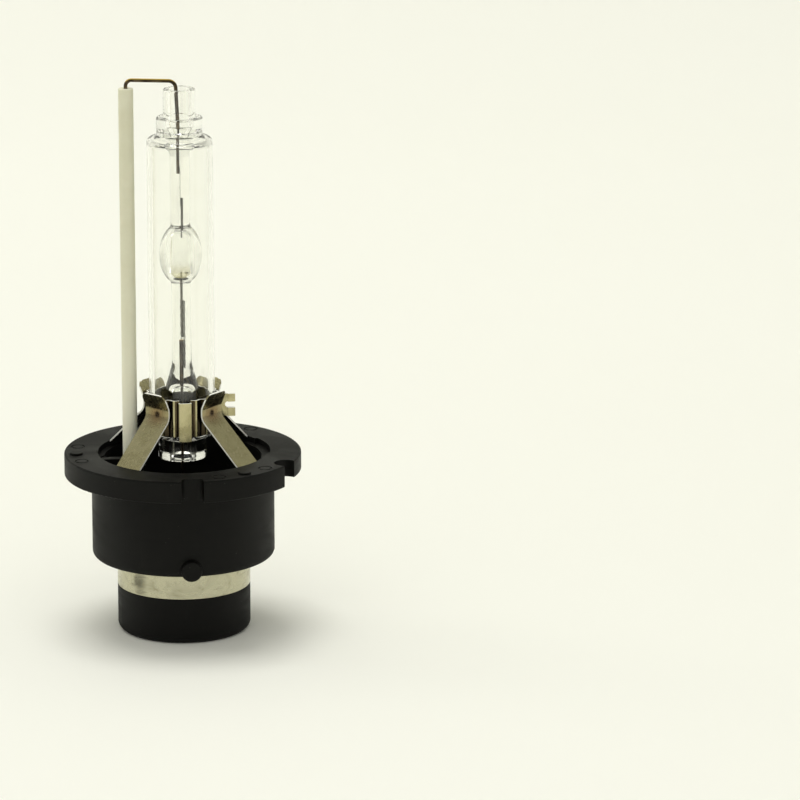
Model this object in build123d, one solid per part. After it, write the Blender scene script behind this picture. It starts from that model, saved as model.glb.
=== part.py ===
"""Gas-discharge headlight bulb on a 32 mm prefocus cap, as an assembly of its real pieces.

Frame: origin on the lamp axis in the reference plane (the tops of the three seating pips), +Z towards the tip
of the glass, -X towards the return wire, -Y towards the flange notch. Millimetres.
"""

import math
import os

from build123d import *

# --- Driving dimensions -------------------------------------------------------------------------------------

# Levels above the reference plane
LIGHT_CENTRE_Z = 27.1
ARC_GAP = 4.2
TIP_WIRE_Z = 50.9
CERAMIC_TOP_Z = 49.8
NECK_TOP_Z = 49.6
ENVELOPE_RING_TOP_Z = 45.8
ENVELOPE_SHOULDER_Z = 42.95
GLASS_FOOT_Z = -1.0
PLUG_BOTTOM_Z = -24.9
SKIRT_BOTTOM_Z = -14.6
CONTACT_RING_BOTTOM_Z = -18.55

# Cap
FLANGE_RADIUS = 16.0
FLANGE_THICKNESS = 3.0
FLANGE_TOP_Z = -0.25
FLANGE_BOTTOM_Z = FLANGE_TOP_Z - FLANGE_THICKNESS
OPENING_RADIUS = 11.45
RECESS_RADIUS = 10.6
LEDGE_Z = -1.0
SKIRT_RADIUS = 12.35
FLOOR_TOP_Z = -7.4
FLOOR_BOTTOM_Z = -8.8
PLUG_RADIUS = 9.0
CONTACT_RING_RADIUS = 9.0
CONTACT_RING_WALL = 0.3
CONTACT_RING_TOP_Z = -12.6
WELL_RADIUS = 5.4
WELL_TOP_Z = -13.8
SPIGOT_RADIUS = 3.0
SPIGOT_TOP_Z = -6.6
PIN_RADIUS = 1.75
PIN_SHANK_RADIUS = 1.95

# Glass
ENVELOPE_RADIUS = 4.42
ENVELOPE_WALL = 0.72
ENVELOPE_RING_RADIUS = 3.1
ENVELOPE_FOOT_RADIUS = 3.3
STEM_RADIUS = 1.33
BALL_RADIUS = 2.9
CAVITY_RADIUS = 1.3
CAVITY_HALF_LENGTH = 3.1
NECK_RADIUS = 2.18
NECK_BORE_RADIUS = 1.26
NECK_BORE_BOTTOM_Z = 43.6
FOOT_BORE_RADIUS = 1.26
FOOT_BORE_TOP_Z = 9.0

# Wires and foils
WIRE_RADIUS = 0.25
SEALED_WIRE_RADIUS = 0.14
LOWER_LEAD_RADIUS = 0.19
ELECTRODE_RADIUS = 0.11
FOIL_WIDTH = 1.5
FOIL_THICKNESS = 0.05
RETURN_X = -7.1
CERAMIC_RADIUS = 1.0
CERAMIC_BORE_RADIUS = 0.36

# Sheet-metal holder
SHEET = 0.22
COLLAR_BOTTOM_Z = 2.9
COLLAR_TOP_Z = 7.9
COLLAR_FLUTES = 20
FLUTE_DEPTH = 0.28
LEG_WIDTH = 4.0
LEG_ANGLES = {"leg_front_left": 225, "leg_front_right": 315, "leg_rear_right": 45, "leg_rear_left": 135}

# Gap left between pieces that touch on the real lamp
CONTACT_GAP = 0.01


# --- Outline helpers ----------------------------------------------------------------------------------------


def corner(before, at, after, radius):
    """Tangent points and middle point of the arc that rounds the corner at `at`."""
    a = Vector(*before, 0) - Vector(*at, 0)
    b = Vector(*after, 0) - Vector(*at, 0)
    a, b = a.normalized(), b.normalized()
    half = math.radians(a.get_angle(b)) / 2
    reach = radius / math.tan(half)
    centre = Vector(*at, 0) + (a + b).normalized() * (radius / math.sin(half))
    towards = (Vector(*at, 0) - centre).normalized()
    points = Vector(*at, 0) + a * reach, centre + towards * radius, Vector(*at, 0) + b * reach
    return [(p.X, p.Y) for p in points]


def outline(points):
    """Closed face from (x, y) or (x, y, corner radius) points."""
    edges, first, last = [], None, None
    count = len(points)
    for i, (x, y, *radius) in enumerate(points):
        before, after = points[i - 1][:2], points[(i + 1) % count][:2]
        if radius and radius[0] > 0:
            start, middle, end = corner(before, (x, y), after, radius[0])
        else:
            start = middle = end = (x, y)
        if last is not None and math.dist(last, start) > 1e-6:
            edges.append(Line(last, start))
        if start != end:
            edges.append(ThreePointArc(start, middle, end))
        first = first or start
        last = end
    if math.dist(last, first) > 1e-6:
        edges.append(Line(last, first))
    return make_face(edges)


def lathe(points):
    """Solid turned about Z from a closed (radius, height) outline."""
    return revolve(Plane.XZ * outline(points), Axis.Z)


def tube(outer, inner, low, high):
    """Straight tube on the Z axis."""
    return lathe([(inner, low), (outer, low), (outer, high), (inner, high)])


def rod(radius, low, high, x=0.0, y=0.0):
    """Upright rod."""
    return Pos(x, y, (low + high) / 2) * Cylinder(radius, high - low)


def block(x_range, y_range, z_range):
    """Box from its three ranges."""
    size = [b - a for a, b in (x_range, y_range, z_range)]
    middle = [(a + b) / 2 for a, b in (x_range, y_range, z_range)]
    return Pos(*middle) * Box(*size)


def sector(inner, outer, start, end, low, high):
    """Block that fills a sector between two angles, in degrees."""
    def at(radius, angle):
        turn = math.radians(angle)
        return radius * math.cos(turn), radius * math.sin(turn)

    middle = (start + end) / 2
    edges = [
        Line(at(inner, start), at(outer, start)),
        ThreePointArc(at(outer, start), at(outer, middle), at(outer, end)),
        Line(at(outer, end), at(inner, end)),
        ThreePointArc(at(inner, end), at(inner, middle), at(inner, start)),
    ]
    return Pos(0, 0, low) * extrude(make_face(edges), high - low)


def bent_strip(path, thickness):
    """Face of a bent strip in section: `path` is its right-hand side, as (x, y, bend radius) points."""
    other = []
    for i, (x, y, radius) in enumerate(path):
        into = Vector(x, y) - Vector(*path[i - 1][:2]) if i else None
        out = Vector(*path[i + 1][:2]) - Vector(x, y) if i + 1 < len(path) else None
        into, out = into or out, out or into
        left_a = Vector(-into.Y, into.X).normalized()
        left_b = Vector(-out.Y, out.X).normalized()
        mitre = left_a + left_b
        shift = mitre * (2 * thickness / mitre.dot(mitre))
        turns_left = into.X * out.Y - into.Y * out.X > 0
        grown = radius + (-thickness if turns_left else thickness) if radius else 0
        other.append((x + shift.X, y + shift.Y, grown))
    return outline([tuple(p) for p in path] + other[::-1])


# --- Cap ----------------------------------------------------------------------------------------------------

PIP_RADIUS = 0.9
PIP_CIRCLE_RADIUS = 14.4
PIP_ANGLES = (60, 180, 300)
EJECTOR_OFFSET = 15.0
EJECTOR_RADIUS = 0.95
NOTCH_WIDTH = 3.0
NOTCH_ROOT_RADIUS = 14.4
KEY_ANGLE = -31
KEY_RADIUS = 1.5
KEY_ROOT_RADIUS = 13.8
RELIEF_END_ANGLE = 15
RELIEF_DEPTH = 0.7
RIM_ROUNDING = 0.2
BAYONET_RADIUS = 1.4
BAYONET_Z = -13.5
BAYONET_REACH = 13.25
BAYONET_ANGLES = (-90, 90)
CERAMIC_SEAT_Z = -3.8
SEAT_BOSS_RADIUS = 1.8
SEAT_BOSS_TOP_Z = -2.2
POCKET_ANGLES = (-12, 26)


def flange():
    """Prefocus flange with its chamfered rim, key notches, pips and ejector marks."""
    rim = lathe([
        (OPENING_RADIUS - 0.8, FLANGE_BOTTOM_Z),
        (FLANGE_RADIUS, FLANGE_BOTTOM_Z, RIM_ROUNDING),
        (FLANGE_RADIUS, FLANGE_TOP_Z, RIM_ROUNDING),
        (OPENING_RADIUS - 0.8, FLANGE_TOP_Z),
    ])
    low, high = FLANGE_BOTTOM_Z - 1, FLANGE_TOP_Z + 1
    half = NOTCH_WIDTH / 2
    notch = Pos(0, 0, low) * extrude(outline([
        (-half, -FLANGE_RADIUS - 1),
        (half, -FLANGE_RADIUS - 1),
        (half, -NOTCH_ROOT_RADIUS, 0.9),
        (-half, -NOTCH_ROOT_RADIUS, 0.9),
    ]), high - low)
    rim -= notch
    key = rod(KEY_RADIUS, low, high, KEY_ROOT_RADIUS + KEY_RADIUS)
    key += block((KEY_ROOT_RADIUS + KEY_RADIUS, FLANGE_RADIUS + 1), (-KEY_RADIUS, KEY_RADIUS), (low, high))
    rim -= Rot(0, 0, KEY_ANGLE) * key
    rim -= sector(SKIRT_RADIUS, FLANGE_RADIUS + 1, KEY_ANGLE, RELIEF_END_ANGLE, low, FLANGE_BOTTOM_Z + RELIEF_DEPTH)
    for pip in PIP_ANGLES:
        turn = math.radians(pip)
        x, y = PIP_CIRCLE_RADIUS * math.cos(turn), PIP_CIRCLE_RADIUS * math.sin(turn)
        dome = lathe([(0, FLANGE_TOP_Z - 0.3), (PIP_RADIUS, FLANGE_TOP_Z - 0.3), (PIP_RADIUS, 0, 0.15), (0, 0)])
        rim += Pos(x, y, 0) * dome
        for side in (-1, 1):
            mark = math.radians(pip + side * EJECTOR_OFFSET)
            ring = tube(EJECTOR_RADIUS, EJECTOR_RADIUS - 0.2, FLANGE_TOP_Z - 0.12, FLANGE_TOP_Z + 0.2)
            rim -= Pos(PIP_CIRCLE_RADIUS * math.cos(mark), PIP_CIRCLE_RADIUS * math.sin(mark), 0) * ring
    return rim


def base_housing(metal_inserts):
    """Moulded outer base: flange, skirt, recess floor, wire seat and bayonet studs."""
    shell = lathe([
        (RECESS_RADIUS, FLANGE_TOP_Z - 1.0),
        (RECESS_RADIUS, FLOOR_TOP_Z, 0.4),
        (SPIGOT_RADIUS + CONTACT_GAP, FLOOR_TOP_Z),
        (SPIGOT_RADIUS + CONTACT_GAP, FLOOR_BOTTOM_Z),
        (RECESS_RADIUS, FLOOR_BOTTOM_Z, 0.4),
        (RECESS_RADIUS, SKIRT_BOTTOM_Z, 0.3),
        (SKIRT_RADIUS, SKIRT_BOTTOM_Z, 0.8),
        (SKIRT_RADIUS, FLANGE_TOP_Z - 1.0),
    ])
    body = shell + flange()
    # Recess mouth, its ledge, and the pockets on the return-wire side and opposite it
    body -= rod(OPENING_RADIUS, LEDGE_Z, FLANGE_TOP_Z + 1)
    vee = Polygon((-OPENING_RADIUS - 0.5, 0), (-OPENING_RADIUS + 1.0, 1.6), (-OPENING_RADIUS + 1.0, -1.6), align=None)
    body -= Pos(0, 0, LEDGE_Z) * extrude(vee, 3)
    body -= sector(OPENING_RADIUS - 1, OPENING_RADIUS + 0.4, *POCKET_ANGLES, LEDGE_Z, FLANGE_TOP_Z + 1)
    # Seat for the ceramic tube, tied to the wall by a rib
    body += rod(SEAT_BOSS_RADIUS, FLOOR_TOP_Z - 0.2, SEAT_BOSS_TOP_Z, RETURN_X)
    body += block((-RECESS_RADIUS - 0.3, RETURN_X), (-0.6, 0.6), (FLOOR_TOP_Z - 0.2, LEDGE_Z))
    body -= rod(CERAMIC_RADIUS + CONTACT_GAP, CERAMIC_SEAT_Z, 0, RETURN_X)
    body -= rod(WIRE_RADIUS + 0.2, FLOOR_BOTTOM_Z - 1, CERAMIC_SEAT_Z + 1, RETURN_X)
    # Stiffening ribs across the recess floor
    for angle in (60, 120, 240, 300):
        rib = block((SPIGOT_RADIUS + 0.8, RECESS_RADIUS + 0.3), (-0.4, 0.4), (FLOOR_TOP_Z - 0.2, FLOOR_TOP_Z + 0.9))
        body += Rot(0, 0, angle) * rib
    for angle in BAYONET_ANGLES:
        stud = Plane.YZ * Circle(BAYONET_RADIUS)
        length = BAYONET_REACH - RECESS_RADIUS - 0.8
        peg = Pos(RECESS_RADIUS + 0.8, 0, BAYONET_Z) * extrude(stud, length)
        peg = fillet(peg.edges().filter_by(GeomType.CIRCLE).sort_by(Axis.X)[-1:], 0.2)
        body += Rot(0, 0, angle) * peg
    for insert in metal_inserts:
        body -= insert
    return body


PLUG_CORE_RADIUS = CONTACT_RING_RADIUS - CONTACT_RING_WALL - CONTACT_GAP
LUG_HALF_WIDTH = 1.2
LUG_TOP_Z = -10.0
LUG_SET_BACK = 0.08


def connector_plug():
    """Moulded inner insulator: connector end with its well, ring seat, and spigot through the floor."""
    plug = lathe([
        (PIN_SHANK_RADIUS + CONTACT_GAP, WELL_TOP_Z),
        (WELL_RADIUS, WELL_TOP_Z, 0.3),
        (WELL_RADIUS, PLUG_BOTTOM_Z, 0.3),
        (PLUG_RADIUS, PLUG_BOTTOM_Z, 1.0),
        (PLUG_RADIUS, CONTACT_RING_BOTTOM_Z - CONTACT_GAP, 0.1),
        (PLUG_CORE_RADIUS, CONTACT_RING_BOTTOM_Z - CONTACT_GAP),
        (PLUG_CORE_RADIUS, FLOOR_BOTTOM_Z - CONTACT_GAP),
        (SPIGOT_RADIUS, FLOOR_BOTTOM_Z - CONTACT_GAP),
        (SPIGOT_RADIUS, SPIGOT_TOP_Z, 0.3),
        (WIRE_RADIUS + 0.25, SPIGOT_TOP_Z),
        (WIRE_RADIUS + 0.25, PIN_HEAD_TOP_Z + 0.6),
        (PIN_HEAD_RADIUS + CONTACT_GAP, PIN_HEAD_TOP_Z),
        (PIN_HEAD_RADIUS + CONTACT_GAP, PIN_HEAD_BOTTOM_Z),
        (PIN_SHANK_RADIUS + CONTACT_GAP, PIN_HEAD_BOTTOM_Z),
    ])
    # Pocket where the return wire meets the lug of the contact ring
    pocket_z = (LUG_TOP_Z - 3.2, FLOOR_BOTTOM_Z + 1)
    plug -= block((-PLUG_RADIUS - 1, RETURN_X + 1.2), (-LUG_HALF_WIDTH - 0.2, LUG_HALF_WIDTH + 0.2), pocket_z)
    plug -= block((-PLUG_RADIUS - 1, -PLUG_CORE_RADIUS + 0.2), (-LUG_HALF_WIDTH - 0.2, LUG_HALF_WIDTH + 0.2),
                  (CONTACT_RING_TOP_Z - 0.5, LUG_TOP_Z))
    return plug


def return_contact_ring():
    """Outer contact band with the lug that takes the return wire."""
    inner = CONTACT_RING_RADIUS - CONTACT_RING_WALL
    ring = tube(CONTACT_RING_RADIUS, inner, CONTACT_RING_BOTTOM_Z, LUG_TOP_Z)
    half = math.degrees(LUG_HALF_WIDTH / CONTACT_RING_RADIUS)
    above = sector(inner - 1, CONTACT_RING_RADIUS + 1, half - 180, 180 - half, CONTACT_RING_TOP_Z, LUG_TOP_Z + 1)
    above += tube(CONTACT_RING_RADIUS + 1, CONTACT_RING_RADIUS - LUG_SET_BACK, CONTACT_RING_TOP_Z, LUG_TOP_Z + 1)
    return ring - above


PIN_TIP_Z = -22.3
PIN_HEAD_RADIUS = 2.7
PIN_HEAD_TOP_Z = -10.6
PIN_HEAD_BOTTOM_Z = -11.6
PIN_BORE_RADIUS = 1.0


def centre_contact_pin():
    """Hollow high-voltage pin with a seating head and a domed, welded tip."""
    return lathe([
        (WIRE_RADIUS + 0.1, PIN_HEAD_TOP_Z),
        (PIN_HEAD_RADIUS, PIN_HEAD_TOP_Z, 0.2),
        (PIN_HEAD_RADIUS, PIN_HEAD_BOTTOM_Z, 0.2),
        (PIN_SHANK_RADIUS, PIN_HEAD_BOTTOM_Z),
        (PIN_SHANK_RADIUS, WELL_TOP_Z - 0.2),
        (PIN_RADIUS, WELL_TOP_Z - 0.2),
        (PIN_RADIUS, PIN_TIP_Z, 0.6),
        (0, PIN_TIP_Z),
        (0, PIN_TIP_Z + 1.0),
        (PIN_BORE_RADIUS, PIN_TIP_Z + 1.4),
        (PIN_BORE_RADIUS, PIN_HEAD_TOP_Z - 0.8),
    ])


# --- Sheet-metal holder -------------------------------------------------------------------------------------

COLLAR_INNER_RADIUS = ENVELOPE_RADIUS + CONTACT_GAP
COLLAR_MID_RADIUS = COLLAR_INNER_RADIUS + FLUTE_DEPTH / 2
COLLAR_OUTER_RADIUS = COLLAR_INNER_RADIUS + FLUTE_DEPTH + SHEET
TONGUE_HALF_ANGLE = 9.8
TONGUE_ANGLE = -90
TONGUE_RANGE = (2.25, 7.55)
TONGUE_BULGE = 0.14
EAR_RANGE = (4.5, 7.6)
EAR_REACH = 6.9
EAR_NOTCH_RANGE = (5.65, 6.5)
EAR_NOTCH_START = 5.75
LEG_INNER_RADIUS = COLLAR_OUTER_RADIUS + TONGUE_BULGE / 4 + CONTACT_GAP
LEG_TOP_Z = 8.9
LEG_FOOT_Z = -1.3
LEG_FOOT_RADIUS = 12.15
ANCHOR_RADII = (12.4, 13.7)
WELD_Z = 5.9


def fluted_disc(mid_radius, depth, thickness):
    """Thick disc whose rim is a ring of equal rounded flutes."""
    step = 360 / COLLAR_FLUTES
    edges = []
    for i in range(COLLAR_FLUTES):
        for phase, reach in ((0, depth / 2), (0.5, -depth / 2)):
            angles = [math.radians(step * (i + phase + part)) for part in (-0.25, 0, 0.25)]
            radii = (mid_radius, mid_radius + reach, mid_radius)
            points = [(r * math.cos(a), r * math.sin(a)) for r, a in zip(radii, angles)]
            edges.append(ThreePointArc(*points))
    return extrude(make_face(edges), thickness)


def collar_ears():
    """The band's two ends, turned out side by side and locked by two folded fingers."""
    ears = None
    for low_y, high_y in ((-SHEET - 0.02, -0.02), (0.02, SHEET + 0.02)):
        ear = block((COLLAR_MID_RADIUS, EAR_REACH), (low_y, high_y), EAR_RANGE)
        ears = ear if ears is None else ears + ear
    for low_z, high_z in ((EAR_RANGE[0], EAR_NOTCH_RANGE[0]), (EAR_NOTCH_RANGE[1], EAR_RANGE[1])):
        fold = block((EAR_REACH - 0.02, EAR_REACH + SHEET), (-2 * SHEET - 0.02, SHEET + 0.02), (low_z, high_z))
        hook = block((EAR_REACH - 0.75, EAR_REACH + SHEET), (-2 * SHEET - 0.02, -SHEET - 0.01), (low_z, high_z))
        ears += fold + hook
    notch_radius = (EAR_NOTCH_RANGE[1] - EAR_NOTCH_RANGE[0]) / 2
    notch_x, notch_z = EAR_NOTCH_START + notch_radius, EAR_NOTCH_RANGE[0] + notch_radius
    ears -= Pos(notch_x, 0, notch_z) * Rot(90, 0, 0) * Cylinder(notch_radius, 2)
    return ears - block((notch_x, EAR_REACH + 1), (-1, 1), EAR_NOTCH_RANGE)


def clamp_collar():
    """Fluted spring band that grips the outer glass, with its front tongue and locked ears."""
    height = COLLAR_TOP_Z - COLLAR_BOTTOM_Z
    outer = fluted_disc(COLLAR_MID_RADIUS + SHEET, FLUTE_DEPTH, height)
    inner = fluted_disc(COLLAR_MID_RADIUS, FLUTE_DEPTH, height)
    band = Pos(0, 0, COLLAR_BOTTOM_Z) * (outer - inner)
    start, end = TONGUE_ANGLE - TONGUE_HALF_ANGLE, TONGUE_ANGLE + TONGUE_HALF_ANGLE
    band -= sector(1, 7, start, end, TONGUE_RANGE[0] - 1, COLLAR_TOP_Z + 1)
    tongue_inner = COLLAR_OUTER_RADIUS - SHEET
    band += sector(tongue_inner, COLLAR_OUTER_RADIUS + TONGUE_BULGE / 4, start, end, *TONGUE_RANGE)
    for side in (start, end):
        band += sector(COLLAR_INNER_RADIUS, COLLAR_OUTER_RADIUS, side - 1.2, side + 1.2,
                       COLLAR_BOTTOM_Z, TONGUE_RANGE[1])
    band -= block((3, 6), (-0.02, 0.02), (COLLAR_BOTTOM_Z - 1, COLLAR_TOP_Z + 1))
    return band + collar_ears()


def holder_leg(angle):
    """One bent strip: flared lip, waist welded to the collar, slope to the cap and foot in the flange."""
    path = [
        (LEG_INNER_RADIUS + 1.05, LEG_TOP_Z, 0),
        (LEG_INNER_RADIUS + 0.35, 7.5, 1.6),
        (LEG_INNER_RADIUS, 6.7, 1.2),
        (LEG_INNER_RADIUS, 5.2, 1.6),
        (LEG_FOOT_RADIUS, LEG_FOOT_Z, 0.35),
        (ANCHOR_RADII[1], LEG_FOOT_Z, 0),
    ]
    section = Plane.XZ * bent_strip(path, SHEET)
    leg = extrude(section, LEG_WIDTH / 2, both=True)
    # Rounded corners on the flared lip
    half = LEG_WIDTH / 2
    side_view = outline([
        (-half, LEG_FOOT_Z - 1), (half, LEG_FOOT_Z - 1), (half, LEG_TOP_Z + 0.02, 1.1), (-half, LEG_TOP_Z + 0.02, 1.1),
    ])
    leg &= extrude(Plane.YZ * side_view, 20)
    dimple = Pos(LEG_INNER_RADIUS + SHEET + 0.22, 0, WELD_Z) * Sphere(0.36)
    return Rot(0, 0, angle) * (leg - dimple)


def leg_anchor_ring():
    """Flat ring moulded into the flange, to which the four feet are welded."""
    top = LEG_FOOT_Z - CONTACT_GAP
    return tube(ANCHOR_RADII[1], ANCHOR_RADII[0], top - 0.4, top)


# --- Glass --------------------------------------------------------------------------------------------------

BALL_HALF_LENGTH = 3.8
ELLIPSE_HALF_LENGTH = BALL_HALF_LENGTH / math.sqrt(1 - (STEM_RADIUS / BALL_RADIUS) ** 2)


def arc_tube(sealed_metal):
    """Burner: solid stems fused to the electrodes' foils, a thick bulb round the arc cavity, tubular ends."""
    low, high = LIGHT_CENTRE_Z - BALL_HALF_LENGTH, LIGHT_CENTRE_Z + BALL_HALF_LENGTH
    stem_and_ends = lathe([
        (0, FOOT_BORE_TOP_Z),
        (FOOT_BORE_RADIUS, FOOT_BORE_TOP_Z, 0.8),
        (FOOT_BORE_RADIUS, GLASS_FOOT_Z),
        (NECK_RADIUS, GLASS_FOOT_Z),
        (NECK_RADIUS, 8.9, 2.5),
        (STEM_RADIUS, 12.0, 3.0),
        (STEM_RADIUS, 40.6, 1.5),
        (NECK_RADIUS, 43.0, 0.8),
        (NECK_RADIUS, NECK_TOP_Z, 0.2),
        (NECK_BORE_RADIUS, NECK_TOP_Z, 0.2),
        (NECK_BORE_RADIUS, NECK_BORE_BOTTOM_Z, 0.8),
        (0, NECK_BORE_BOTTOM_Z),
    ])
    ellipse = Plane.XZ * Pos(0, LIGHT_CENTRE_Z) * Ellipse(BALL_RADIUS, ELLIPSE_HALF_LENGTH)
    window = Plane.XZ * Pos(BALL_RADIUS, LIGHT_CENTRE_Z) * Rectangle(2 * BALL_RADIUS, high - low)
    bulb = revolve(ellipse & window, Axis.Z)
    cavity = lathe([
        (0, LIGHT_CENTRE_Z - CAVITY_HALF_LENGTH),
        (CAVITY_RADIUS, LIGHT_CENTRE_Z - CAVITY_HALF_LENGTH, 0.9),
        (CAVITY_RADIUS, LIGHT_CENTRE_Z + CAVITY_HALF_LENGTH, 1.2),
        (0, LIGHT_CENTRE_Z + CAVITY_HALF_LENGTH),
    ])
    glass = stem_and_ends + bulb - cavity
    for piece in sealed_metal:
        glass -= piece
    return glass


def outer_envelope():
    """Ultraviolet-blocking outer tube, closed on the burner's necks by a rolled ring at each end."""
    bore = NECK_RADIUS + CONTACT_GAP
    inner = ENVELOPE_RADIUS - ENVELOPE_WALL
    low_ring_top = 2.0
    return lathe([
        (bore, GLASS_FOOT_Z),
        (ENVELOPE_FOOT_RADIUS, GLASS_FOOT_Z, 0.25),
        (ENVELOPE_FOOT_RADIUS - 0.1, low_ring_top, 0.3),
        (ENVELOPE_RADIUS, low_ring_top, 0.6),
        (ENVELOPE_RADIUS, ENVELOPE_SHOULDER_Z, 0.6),
        (ENVELOPE_RING_RADIUS, ENVELOPE_SHOULDER_Z, 0.15),
        (ENVELOPE_RING_RADIUS, ENVELOPE_RING_TOP_Z, 0.25),
        (bore, ENVELOPE_RING_TOP_Z),
        (bore, ENVELOPE_SHOULDER_Z + 0.3),
        (inner, ENVELOPE_SHOULDER_Z - 0.8, 0.4),
        (inner, low_ring_top + 0.8, 0.4),
        (bore, low_ring_top + 0.2),
    ])


# --- Wires, electrodes and fill -----------------------------------------------------------------------------

UPPER_TIP_Z = LIGHT_CENTRE_Z + ARC_GAP / 2
LOWER_TIP_Z = LIGHT_CENTRE_Z - ARC_GAP / 2
UPPER_FOIL_RANGE = (33.8, 39.2)
LOWER_FOIL_RANGE = (11.4, 20.8)
FOIL_OVERLAP = 1.0
UPPER_FOIL_TURN = -5
LOWER_FOIL_TURN = 194
LOWER_FOIL_SHIFT = 0.19
LOWER_ROOT_Z = 15.8
LOWER_LEAD_TOP_Z = 15.3


def foil(z_range, turn, shift=0.0):
    """Sealing foil, its width along Y before it is turned; `shift` is how far it stands off the lamp axis."""
    strip = block((-FOIL_THICKNESS / 2, FOIL_THICKNESS / 2), (-FOIL_WIDTH / 2, FOIL_WIDTH / 2), z_range)
    return Rot(0, 0, turn) * (Pos(-shift, 0, 0) * strip)


def beside_foil(radius, turn, shift=0.0):
    """Centre of a rod that lies against a foil's flat side."""
    offset = FOIL_THICKNESS / 2 + radius + CONTACT_GAP - shift
    return offset * math.cos(math.radians(turn)), offset * math.sin(math.radians(turn))


def electrode(tip_z, root_z, turn, shift=0.0):
    """Tungsten rod with a slightly rounded tip, running from the arc to its foil."""
    low, high = sorted((tip_z, root_z))
    x, y = beside_foil(ELECTRODE_RADIUS, turn, shift)
    shaft = rod(ELECTRODE_RADIUS, low, high, x, y)
    end = shaft.edges().filter_by(GeomType.CIRCLE).sort_by(Axis.Z)[-1 if tip_z > root_z else 0]
    return fillet([end], 0.05)


def return_wire():
    """From the upper foil out of the neck, over to the ceramic tube and down it to the contact ring's lug."""
    foil_x, foil_y = beside_foil(SEALED_WIRE_RADIUS, UPPER_FOIL_TURN + 180)
    lug_x = -(CONTACT_RING_RADIUS - CONTACT_RING_WALL) + WIRE_RADIUS + 0.03
    sealed_end = rod(SEALED_WIRE_RADIUS, UPPER_FOIL_RANGE[1] - FOIL_OVERLAP, NECK_BORE_BOTTOM_Z + 1, foil_x, foil_y)
    path = FilletPolyline(
        (foil_x, foil_y, NECK_BORE_BOTTOM_Z + 0.4),
        (foil_x - 0.3, 0, TIP_WIRE_Z - 0.28),
        (RETURN_X, 0, TIP_WIRE_Z),
        (RETURN_X, 0, FLOOR_BOTTOM_Z - 0.4),
        (lug_x, 0, FLOOR_BOTTOM_Z - 2.4),
        (lug_x, 0, LUG_TOP_Z - 2.8),
        radius=0.7,
    )
    start = Plane(origin=path @ 0, z_dir=path % 0)
    return sweep(start * Circle(WIRE_RADIUS), path=path) + sealed_end


def lower_lead_wire():
    """From the lower foil down the burner's foot and through the spigot into the hollow contact pin."""
    x, y = beside_foil(LOWER_LEAD_RADIUS, LOWER_FOIL_TURN, LOWER_FOIL_SHIFT)
    return rod(LOWER_LEAD_RADIUS, PIN_TIP_Z + 1.45, LOWER_LEAD_TOP_Z, x, y)


def ceramic_tube():
    """Insulating tube over the return wire."""
    return Pos(RETURN_X, 0, 0) * lathe([
        (CERAMIC_BORE_RADIUS, CERAMIC_SEAT_Z + CONTACT_GAP),
        (CERAMIC_RADIUS, CERAMIC_SEAT_Z + CONTACT_GAP),
        (CERAMIC_RADIUS, CERAMIC_TOP_Z, 0.12),
        (CERAMIC_BORE_RADIUS, CERAMIC_TOP_Z, 0.1),
    ])


def salt_pool(hardware):
    """Frozen metal-halide charge lying in the bottom of the arc cavity."""
    floor = LIGHT_CENTRE_Z - CAVITY_HALF_LENGTH
    pool = lathe([
        (0, floor + 0.02),
        (CAVITY_RADIUS - 0.02, floor + 0.02, 0.88),
        (CAVITY_RADIUS - 0.02, floor + 0.95),
        (0, floor + 0.3),
    ])
    for piece in hardware:
        pool -= piece
    return pool


def mercury_bead():
    """Mercury dose, condensed to one bead on the salt."""
    return Pos(0.72, -0.35, LIGHT_CENTRE_Z - CAVITY_HALF_LENGTH + 0.92) * Sphere(0.2)


# --- Assembly -----------------------------------------------------------------------------------------------


def build():
    """Every piece by node name."""
    parts = {name: holder_leg(angle) for name, angle in LEG_ANGLES.items()}
    legs = list(parts.values())
    parts["leg_anchor_ring"] = leg_anchor_ring()
    parts["base_housing"] = base_housing(legs + [parts["leg_anchor_ring"]])
    parts["connector_plug"] = connector_plug()
    parts["return_contact_ring"] = return_contact_ring()
    parts["centre_contact_pin"] = centre_contact_pin()
    parts["clamp_collar"] = clamp_collar()
    parts["upper_foil"] = foil(UPPER_FOIL_RANGE, UPPER_FOIL_TURN)
    parts["lower_foil"] = foil(LOWER_FOIL_RANGE, LOWER_FOIL_TURN, LOWER_FOIL_SHIFT)
    parts["upper_electrode"] = electrode(UPPER_TIP_Z, UPPER_FOIL_RANGE[0] + FOIL_OVERLAP, UPPER_FOIL_TURN)
    parts["lower_electrode"] = electrode(LOWER_TIP_Z, LOWER_ROOT_Z, LOWER_FOIL_TURN, LOWER_FOIL_SHIFT)
    parts["return_wire"] = return_wire()
    parts["lower_lead_wire"] = lower_lead_wire()
    parts["ceramic_tube"] = ceramic_tube()
    sealed = [parts[n] for n in ("upper_foil", "lower_foil", "upper_electrode", "lower_electrode",
                                 "return_wire", "lower_lead_wire")]
    parts["arc_tube"] = arc_tube(sealed)
    parts["outer_envelope"] = outer_envelope()
    parts["mercury_bead"] = mercury_bead()
    parts["salt_pool"] = salt_pool([parts["lower_electrode"], parts["mercury_bead"]])
    return parts


if __name__ == "__main__":
    os.makedirs("parts", exist_ok=True)
    for name, piece in build().items():
        piece.label = name
        export_step(piece, f"parts/{name}.step")
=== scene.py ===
import math

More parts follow.
